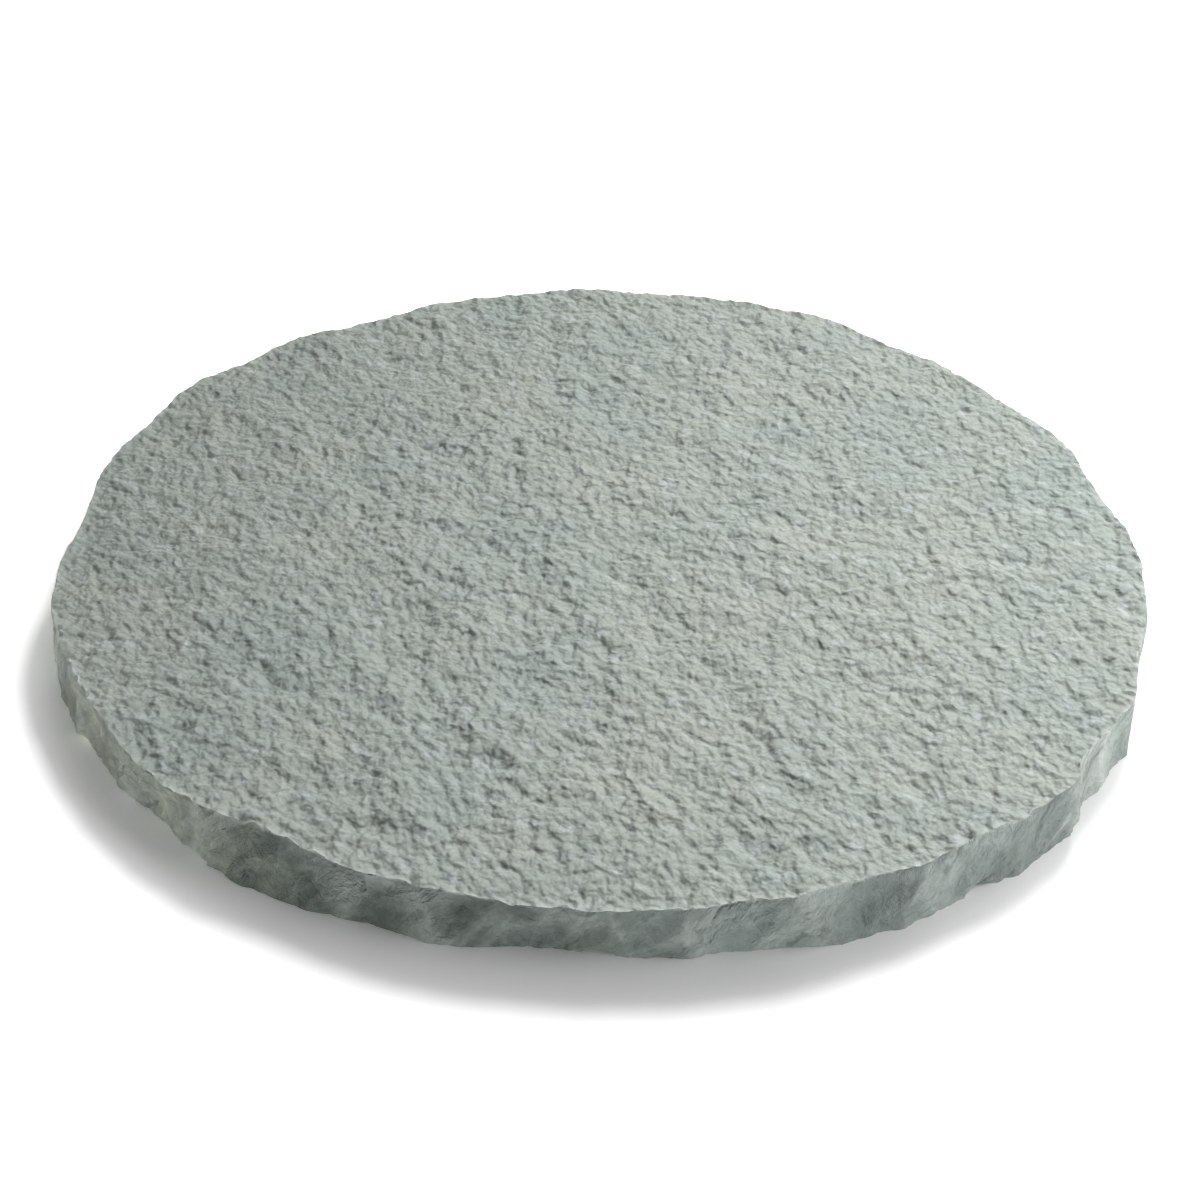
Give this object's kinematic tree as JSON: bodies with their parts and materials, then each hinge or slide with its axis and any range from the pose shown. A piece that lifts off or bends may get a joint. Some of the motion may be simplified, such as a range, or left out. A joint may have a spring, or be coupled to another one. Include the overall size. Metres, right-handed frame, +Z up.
{
  "type": "stepping stone",
  "caption": "Round natural stone slab with a rough dressed top and a hand-pitched rim, laid flat on the ground as a step in a garden path.",
  "frame": {"origin": "middle of the underside, on the ground that the stone lies on", "axes": "+Z up out of the tread, along the axis of the round; X and Y lie in the underside"},
  "size_m": [0.4503, 0.4515, 0.025],
  "materials": {
    "stone": "grey-green natural stone, rough dressed top, split and pitched rim"
  },
  "bodies": {
    "root": {"stepping_stone": "stone"}
  },
  "joints": []
}
